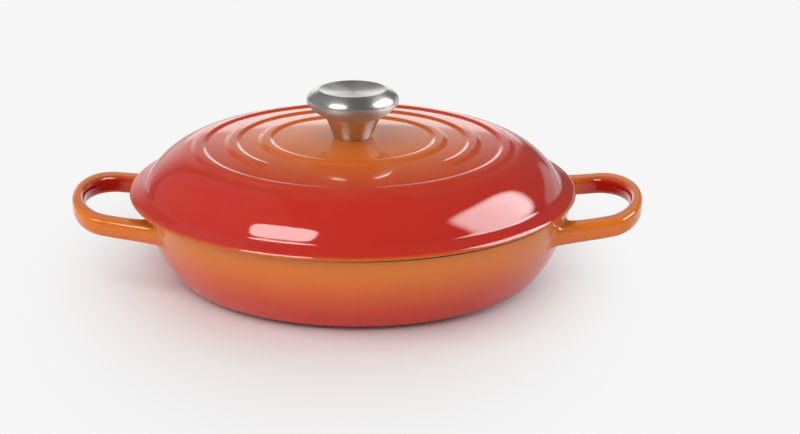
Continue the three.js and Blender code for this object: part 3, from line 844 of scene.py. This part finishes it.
def enamel(name, near_colour, far_colour, fade, radial, gap_colour=None, edge_fade=None):
    """Enamel that fades from one colour to another between two radii or two heights, in millimetres.

    gap_colour, a deeper red, goes on the sides of the gap in a handle and partly over the arm next to it. Between
    the two radii of edge_fade the first colour comes back.
    """
    material, tree = new_material(name)
    place = add_node(tree, "TexCoord").outputs["Object"]
    if radial:
        flat = add_node(tree, "VectorMath", {"operation": "MULTIPLY"}, _0=place, _1=(1, 1, 0))
        distance = add_node(tree, "VectorMath", {"operation": "LENGTH"}, _0=flat.outputs[0]).outputs["Value"]
    else:
        distance = add_node(tree, "SeparateXYZ", Vector=place).outputs["Z"]
    grain = add_node(tree, "TexNoise", Vector=place, Scale=per_metre(SPRAY_GRAIN), Detail=2.0)
    cloud = add_node(tree, "TexNoise", Vector=place, Scale=per_metre(SPRAY_CLOUD), Detail=3.0)
    share = add_node(
        tree, "MapRange", SMOOTH, Value=distance, From_Min=fade[0] * MM, From_Max=fade[1] * MM
    ).outputs[0]
    for noise, amount in ((grain, GRAIN_SHARE), (cloud, CLOUD_SHARE)):
        share = add_node(
            tree, "Math", {"operation": "MULTIPLY_ADD"}, _0=noise.outputs["Fac"], _1=amount, _2=share
        ).outputs[0]
    middle = (GRAIN_SHARE + CLOUD_SHARE) / 2
    share = add_node(tree, "Math", {"operation": "SUBTRACT", "use_clamp": True}, _0=share, _1=middle)
    tint = add_node(
        tree, "Mix", COLOUR, _0=share.outputs[0], _6=linear(near_colour), _7=linear(far_colour)
    ).outputs[2]
    if edge_fade:
        edge = add_node(
            tree, "MapRange", SMOOTH, Value=distance, From_Min=edge_fade[0] * MM, From_Max=edge_fade[1] * MM
        )
        tint = add_node(
            tree, "Mix", COLOUR, _0=edge.outputs[0], _6=tint, _7=linear(near_colour)
        ).outputs[2]
    if gap_colour:
        facing = add_node(tree, "Attribute", {"attribute_name": "gap_side"}).outputs["Fac"]
        tint = add_node(tree, "Mix", COLOUR, _0=facing, _6=tint, _7=linear(gap_colour)).outputs[2]
    gloss = add_node(
        tree,
        "MapRange",
        Value=cloud.outputs["Fac"],
        From_Min=NOISE_RANGE[0],
        From_Max=NOISE_RANGE[1],
        To_Min=ENAMEL_ROUGHNESS[0],
        To_Max=ENAMEL_ROUGHNESS[1],
    )
    peel = add_node(tree, "TexNoise", Vector=place, Scale=per_metre(PEEL_SIZE), Detail=1.0)
    ripple = add_node(tree, "Bump", Height=peel.outputs["Fac"], Strength=1.0, Distance=PEEL_HEIGHT * MM)
    shader = add_node(
        tree,
        "BsdfPrincipled",
        Base_Color=tint,
        Roughness=gloss.outputs[0],
        IOR=GLASS_IOR,
        Normal=ripple.outputs[0],
    )
    add_node(tree, "OutputMaterial", Surface=shader.outputs[0])
    print("made", name)
    return material


print("the enamel ripples every", PEEL_SIZE, "mm")

# %% Spray the pot and the lid
POT_ORANGE, POT_RED, GAP_RED = "#E0781C", "#CC3624", "#B01008"
LID_ORANGE, LID_RED = "#DA7428", "#C42C20"
POT_FADE = (7, 49)
LID_FADE = (20, 118)
# Over the lid's outermost millimetre or two the colour goes part way back to the orange.
LID_EDGE_FADE = (lid_radius - 1.6, lid_radius + 1)

pot_enamel = enamel(
    "pot_enamel_orange_over_red", POT_RED, POT_ORANGE, fade=POT_FADE, radial=False, gap_colour=GAP_RED
)
lid_enamel = enamel(
    "lid_enamel_orange_over_red", LID_ORANGE, LID_RED, fade=LID_FADE, radial=True, edge_fade=LID_EDGE_FADE
)

# %% [markdown]
# The cooking surfaces have a pale sand-coloured enamel, a little duller than the outside. The ground rim and
# the lid's seat carry only a thin dark ground coat, matt and slightly gritty, so that lid and pot don't chip.
# Both are one colour with fine flecks, so one function makes them. A flat colour would look like plastic.
# On the pot the dark coat also runs over the rim's rounded outer edge, where it is painted shadow of the gap under
# the lid's flange.

# %% Sand enamel inside, and the dark ground coat of the rims
SPECKLE_SIZE, SPECKLE_HEIGHT = 1.5, 0.01
GRIT_SIZE, GRIT_HEIGHT = 0.6, 0.02
FLECK_RANGE = (0.45, 0.72)
FLECK_SHARE = 0.7
COAT_SPREAD = 0.2


def plain_coat(name, colour, fleck, roughness, grain_size, height):
    """A coat of one colour with finer flecks of another, and a grain that shows in its gloss and its bump."""
    material, tree = new_material(name)
    place = add_node(tree, "TexCoord").outputs["Object"]
    grain = add_node(tree, "TexNoise", Vector=place, Scale=per_metre(grain_size), Detail=3.0).outputs["Fac"]
    flecks = add_node(
        tree, "MapRange", Value=grain, From_Min=FLECK_RANGE[0], From_Max=FLECK_RANGE[1], To_Max=FLECK_SHARE
    )
    tint = add_node(tree, "Mix", COLOUR, _0=flecks.outputs[0], _6=linear(colour), _7=linear(fleck))
    gloss = add_node(
        tree,
        "MapRange",
        Value=grain,
        To_Min=(1 - COAT_SPREAD) * roughness,
        To_Max=(1 + COAT_SPREAD) * roughness,
    )
    bump = add_node(tree, "Bump", Height=grain, Strength=1.0, Distance=height * MM)
    shader = add_node(
        tree,
        "BsdfPrincipled",
        Base_Color=tint.outputs[2],
        Roughness=gloss.outputs[0],
        IOR=GLASS_IOR,
        Normal=bump.outputs[0],
    )
    add_node(tree, "OutputMaterial", Surface=shader.outputs[0])
    return material


sand_enamel = plain_coat(
    "sand_enamel_inside", "#E4D8BE", "#D2C2A2", roughness=0.16, grain_size=SPECKLE_SIZE, height=SPECKLE_HEIGHT
)
ground_coat = plain_coat(
    "dark_ground_coat", "#2B2725", "#4A423C", roughness=0.55, grain_size=GRIT_SIZE, height=GRIT_HEIGHT
)
for piece, outside in ((pot, pot_enamel), (lid, lid_enamel)):
    for material in (outside, ground_coat, sand_enamel):
        piece.data.materials.append(material)
print("pot and lid have", len(pot.data.materials), "finishes each")

# %% [markdown]
# ## Steel
#
# The knob is pressed from stainless sheet and brushed while it spins, which leaves fine circles round its
# axis. Light glancing off them spreads across the circles, so highlights become fans. The lines could be cut
# into the mesh, but they are finer than a pixel. Blender's anisotropic reflection does what they do to the
# light, and the Tangent node says which way the brush went. The brush could not press on the head's
# underside, so that is duller than the top, and the neck is brushed finer.

# %% Brushed stainless steel
BRUSH_SPACING = 0.35
BRUSH_DRIFT = 0.05
BRUSH_DEPTH, BRUSH_STRENGTH = 0.004, 0.25
BRUSH_SPREAD = 0.25
QUARTER_TURN = 0.25


def brushed_steel(name, colours, roughness, anisotropy):
    """Steel brushed in circles. The real lines are finer, and are drawn this coarse so that they show."""
    material, tree = new_material(name)
    place = add_node(tree, "TexCoord").outputs["Object"]
    flat = add_node(tree, "VectorMath", {"operation": "MULTIPLY"}, _0=place, _1=(1, 1, 0))
    radius = add_node(tree, "VectorMath", {"operation": "LENGTH"}, _0=flat.outputs[0]).outputs["Value"]
    split = add_node(tree, "SeparateXYZ", Vector=place)
    sweep = add_node(tree, "Math", {"operation": "ADD"}, _0=split.outputs["X"], _1=split.outputs["Y"])
    slow = add_node(tree, "Math", {"operation": "MULTIPLY"}, _0=sweep.outputs[0], _1=BRUSH_DRIFT)
    circles = add_node(tree, "CombineXYZ", X=radius, Y=split.outputs["Z"], Z=slow.outputs[0]).outputs[0]
    brushing = add_node(
        tree, "TexNoise", Vector=circles, Scale=per_metre(BRUSH_SPACING), Detail=3.0
    ).outputs["Fac"]
    tint = add_node(tree, "Mix", COLOUR, _0=brushing, _6=linear(colours[0]), _7=linear(colours[1]))
    gloss = add_node(
        tree,
        "MapRange",
        Value=brushing,
        To_Min=(1 + BRUSH_SPREAD) * roughness,
        To_Max=(1 - BRUSH_SPREAD) * roughness,
    )
    bump = add_node(
        tree, "Bump", Height=brushing, Strength=BRUSH_STRENGTH, Distance=BRUSH_DEPTH * MM
    )
    around = add_node(tree, "Tangent", {"direction_type": "RADIAL", "axis": "Z"})
    shader = add_node(
        tree,
        "BsdfPrincipled",
        Base_Color=tint.outputs[2],
        Metallic=1.0,
        Roughness=gloss.outputs[0],
        Anisotropic=anisotropy,
        Anisotropic_Rotation=QUARTER_TURN,
        Tangent=around.outputs[0],
        Normal=bump.outputs[0],
    )
    add_node(tree, "OutputMaterial", Surface=shader.outputs[0])
    print("made", name)
    return material


print("a brush line every", BRUSH_SPACING, "mm")

# %% Put steel on the knob and its fasteners
SHEET_STEEL = ("#C6C5C2", "#E2E1DE")
BAR_STEEL = ("#8E8C86", "#B4B2AC")

head_steel = brushed_steel("brushed_stainless_steel", SHEET_STEEL, roughness=0.3, anisotropy=0.75)
bowl_steel = brushed_steel("satin_stainless_steel", SHEET_STEEL, roughness=0.62, anisotropy=0.85)
neck_steel = brushed_steel("fine_brushed_stainless_steel", SHEET_STEEL, roughness=0.32, anisotropy=0.3)
turned_steel = brushed_steel("turned_stainless_steel", BAR_STEEL, roughness=0.32, anisotropy=0.3)
knob_neck.data.materials.append(neck_steel)
knob_head.data.materials.append(head_steel)
knob_head.data.materials.append(bowl_steel)
for face in knob_head.data.polygons:
    face.material_index = int(face.center.z < widest * MM)
for name in ("knob_insert", "knob_screw", "flat_washer", "spring_washer"):
    node = frame["nodes"][name]
    node.data.materials.clear()
    node.data.materials.append(turned_steel)
print("steel on", knob_head.name, knob_neck.name, "and the fasteners")

# %% [markdown]
# ## Table, lamps and surroundings
#
# The pot stands on a white table that runs out of the picture. Near the pot the table is lit paint, so that it
# keeps the shadow. Further out, rays from the camera and from gloss meet one plain level of white, which could
# also come from a bright backdrop, but then that would light the pot. In reflections the table grows dim
# towards the front, where no lamp hangs.

# %% Lay the table
FLOOR_SIZE = 12
FLOOR_GAP = 0.0002

half_floor = FLOOR_SIZE / 2
corners = [(x * half_floor, y * half_floor, -FLOOR_GAP) for x, y in ((-1, -1), (1, -1), (1, 1), (-1, 1))]
floor_mesh = bpy.data.meshes.new("table")
floor_mesh.from_pydata(corners, [], [(0, 1, 2, 3)])
floor = bpy.data.objects.new("table", floor_mesh)
bpy.context.scene.collection.objects.link(floor)
print("table", FLOOR_SIZE, "m wide")

# %% Paint the table
TABLE_WHITE, TABLE_ROUGHNESS, PAINT_IOR = "#F4F4F4", 0.6, 1.45
WHITE = (1, 1, 1, 1)
PALE = 0.92
DIM = 0.14
SHADOW_RADII = (0.14, 0.34)
SHADOW_SHAPE = (1.7, 1, 1)
SHADOW_SHIFT = (0.03, 0, 0)
TABLE_END = (0.25, 0.7)
TABLE_FAR = 0.6


def seen_rays(tree):
    """Two sockets: 1 for rays from the camera, and 1 for those and for what gloss and glass show."""
    rays = add_node(tree, "LightPath")
    direct = rays.outputs["Is Camera Ray"]
    seen = direct
    for kind in ("Is Glossy Ray", "Is Transmission Ray"):
        seen = add_node(tree, "Math", {"operation": "MAXIMUM"}, _0=seen, _1=rays.outputs[kind]).outputs[0]
    return direct, seen


material, tree = new_material("matt_white_table")
paint = add_node(
    tree, "BsdfPrincipled", Base_Color=linear(TABLE_WHITE), Roughness=TABLE_ROUGHNESS, IOR=PAINT_IOR
)
place = add_node(tree, "TexCoord").outputs["Object"]
oval = add_node(
    tree, "VectorMath", {"operation": "MULTIPLY_ADD"}, _0=place, _1=SHADOW_SHAPE, _2=SHADOW_SHIFT
)
out = add_node(tree, "VectorMath", {"operation": "LENGTH"}, _0=oval.outputs[0]).outputs["Value"]
far = add_node(tree, "MapRange", SMOOTH, Value=out, From_Min=SHADOW_RADII[0], From_Max=SHADOW_RADII[1])
end_level = add_node(
    tree,
    "MapRange",
    Value=add_node(tree, "SeparateXYZ", Vector=place).outputs["Y"],
    From_Min=-TABLE_END[0],
    From_Max=TABLE_END[0],
    To_Min=DIM,
    To_Max=TABLE_FAR,
)
mirrored = add_node(
    tree,
    "MapRange",
    SMOOTH,
    Value=add_node(tree, "VectorMath", {"operation": "LENGTH"}, _0=place).outputs["Value"],
    From_Min=TABLE_END[0],
    From_Max=TABLE_END[1],
    To_Min=PALE,
    To_Max=end_level.outputs[0],
)
direct, seen = seen_rays(tree)
level = add_node(tree, "Mix", _0=direct, _2=mirrored.outputs[0], _3=PALE)
far_white = add_node(tree, "Emission", Color=WHITE, Strength=level.outputs[0])
far_seen = add_node(tree, "Math", {"operation": "MULTIPLY"}, _0=far.outputs[0], _1=seen)
shader = add_node(tree, "MixShader", _0=far_seen.outputs[0], _1=paint.outputs[0], _2=far_white.outputs[0])
add_node(tree, "OutputMaterial", Surface=shader.outputs[0])
floor_mesh.materials.append(material)
print("made", material.name)

# %% [markdown]
# A large softbox hangs on the right, a little behind, and a smaller one at the front left. Both show in the
# shoulder's enamel, and their places were worked out from where those reflections are. A pale screen on the
# left, a card low on the right and a low softbox behind show in gloss alone. A single lamp could both shine and
# light, but then its reflection and the brightness of the colours could not be set apart.

# %% Hang the lamps
LAMP_DISTANCE = 2.6
BODY_SPREAD = 2.4
LAMP_AIM = Vector((0, 0, 0.07))


def panel_lamp(name, azimuth, elevation, size, radiance, edge, body_share=0, place=(0, 0), roll=0):
    """A soft lamp that faces the pot. Azimuth 0 is the front and 90 the right, in degrees.

    Its light fades towards its rounded edge. One copy shows in gloss, and a larger one, for softer shadows,
    lights the colours.
    """
    a, e = math.radians(azimuth), math.radians(elevation)
    out = Vector((math.sin(a) * math.cos(e), -math.cos(a) * math.cos(e), math.sin(e)))
    turn = out.to_track_quat("Z", "Y")
    for part, share, spread in (("shine", 1, 1), ("body", body_share, BODY_SPREAD)):
        if not share:
            continue
        lamp = bpy.data.objects.new(f"{name}_{part}", bpy.data.lights.new(f"{name}_{part}", "AREA"))
        bpy.context.scene.collection.objects.link(lamp)
        lamp.location = LAMP_AIM + LAMP_DISTANCE * out + turn @ Vector((*place, 0))
        lamp.rotation_mode = "QUATERNION"
        lamp.rotation_quaternion = turn @ Quaternion((0, 0, 1), math.radians(roll))
        lamp.data.shape = "RECTANGLE"
        lamp.data.size, lamp.data.size_y = spread * size[0], spread * size[1]
        lamp.data.energy = share * radiance * math.pi * size[0] * size[1]
        lamp.visible_camera = False
        lamp.visible_diffuse = part == "body"
        lamp.visible_glossy = part == "shine"
        lamp.data.use_nodes = True
        tree = lamp.data.node_tree
        tree.nodes.clear()
        spot = add_node(tree, "NewGeometry").outputs["Parametric"]
        across = add_node(
            tree, "VectorMath", {"operation": "MULTIPLY_ADD"}, _0=spot, _1=(2, 2, 0), _2=(-1, -1, 0)
        ).outputs[0]
        squared = add_node(tree, "VectorMath", {"operation": "MULTIPLY"}, _0=across, _1=across).outputs[0]
        rounded = add_node(tree, "VectorMath", {"operation": "DOT_PRODUCT"}, _0=squared, _1=squared)
        fading = add_node(
            tree,
            "MapRange",
            SMOOTH,
            Value=rounded.outputs["Value"],
            From_Min=edge,
            From_Max=1.0,
            To_Min=1.0,
            To_Max=0.0,
        )
        glow = add_node(tree, "Emission", Color=WHITE, Strength=fading.outputs[0])
        add_node(tree, "OutputLight", Surface=glow.outputs[0])
    print(f"{name}: {radiance} times white")


panel_lamp(
    "right_softbox",
    azimuth=102,
    elevation=34,
    size=(2.5, 1.75),
    radiance=8.4,
    edge=0.15,
    body_share=0.06,
    place=(-0.13, 0.04),
    roll=-18,
)
panel_lamp(
    "left_softbox",
    azimuth=-45,
    elevation=46,
    size=(1.5, 0.95),
    radiance=10.4,
    edge=0.55,
    body_share=1.25,
    place=(-0.03, 0),
    roll=14.7,
)
panel_lamp("left_screen", azimuth=-100, elevation=36, size=(4.9, 3.5), radiance=0.15, edge=0.9)
panel_lamp("right_card", azimuth=141, elevation=3, size=(1.5, 0.9), radiance=0.5, edge=0.1)
panel_lamp("back_softbox", azimuth=180, elevation=7, size=(1.5, 0.5), radiance=0.8, edge=0.2)

# %% [markdown]
# The world gives the rest of the light. What a glossy surface mirrors is drawn apart from it: pale low down and
# straight behind the pot, where a backdrop would hang, reaching further to the left than to the right, and dim
# elsewhere. A real backdrop could stand there, but would also show from the side. Rays that carry diffuse
# light get one plain level, so the colours stay as they are written.

# %% Light the surroundings
AMBIENT = 0.62
BACKDROP_RISE = (0.14, 0.48)
BACKDROP_SIDE = (0.55, 0.85)
SIDEWAYS_LOSS = -1.0
RIGHTWARD_LOSS = -0.6

world = bpy.data.worlds.new("studio")
bpy.context.scene.world = world
world.use_nodes = True
tree = world.node_tree
tree.nodes.clear()
outward = add_node(tree, "TexCoord").outputs["Generated"]
direction = add_node(tree, "SeparateXYZ", Vector=outward)
rightward = direction.outputs["X"]
sideways = add_node(tree, "Math", {"operation": "ABSOLUTE"}, _0=rightward).outputs[0]
backward = direction.outputs["Y"]
for turned_away, loss in ((rightward, RIGHTWARD_LOSS), (sideways, SIDEWAYS_LOSS)):
    backward = add_node(
        tree, "Math", {"operation": "MULTIPLY_ADD"}, _0=turned_away, _1=loss, _2=backward
    ).outputs[0]
risen = add_node(
    tree,
    "MapRange",
    SMOOTH,
    Value=direction.outputs["Z"],
    From_Min=BACKDROP_RISE[0],
    From_Max=BACKDROP_RISE[1],
    To_Min=1.0,
    To_Max=0.0,
)
behind = add_node(
    tree, "MapRange", SMOOTH, Value=backward, From_Min=BACKDROP_SIDE[0], From_Max=BACKDROP_SIDE[1]
)
backdrop = add_node(tree, "Math", {"operation": "MULTIPLY"}, _0=risen.outputs[0], _1=behind.outputs[0])
mirrored = add_node(tree, "MapRange", Value=backdrop.outputs[0], To_Min=DIM, To_Max=PALE)
direct, seen = seen_rays(tree)
shown = add_node(tree, "Mix", _0=direct, _2=mirrored.outputs[0], _3=PALE)
level = add_node(tree, "Mix", _0=seen, _2=AMBIENT, _3=shown.outputs[0])
glow = add_node(tree, "Background", Color=WHITE, Strength=level.outputs[0])
add_node(tree, "OutputWorld", Surface=glow.outputs[0])
bpy.context.scene.view_settings.view_transform = "Standard"
print("surroundings: ambient", AMBIENT, "pale", PALE, "dim", DIM)
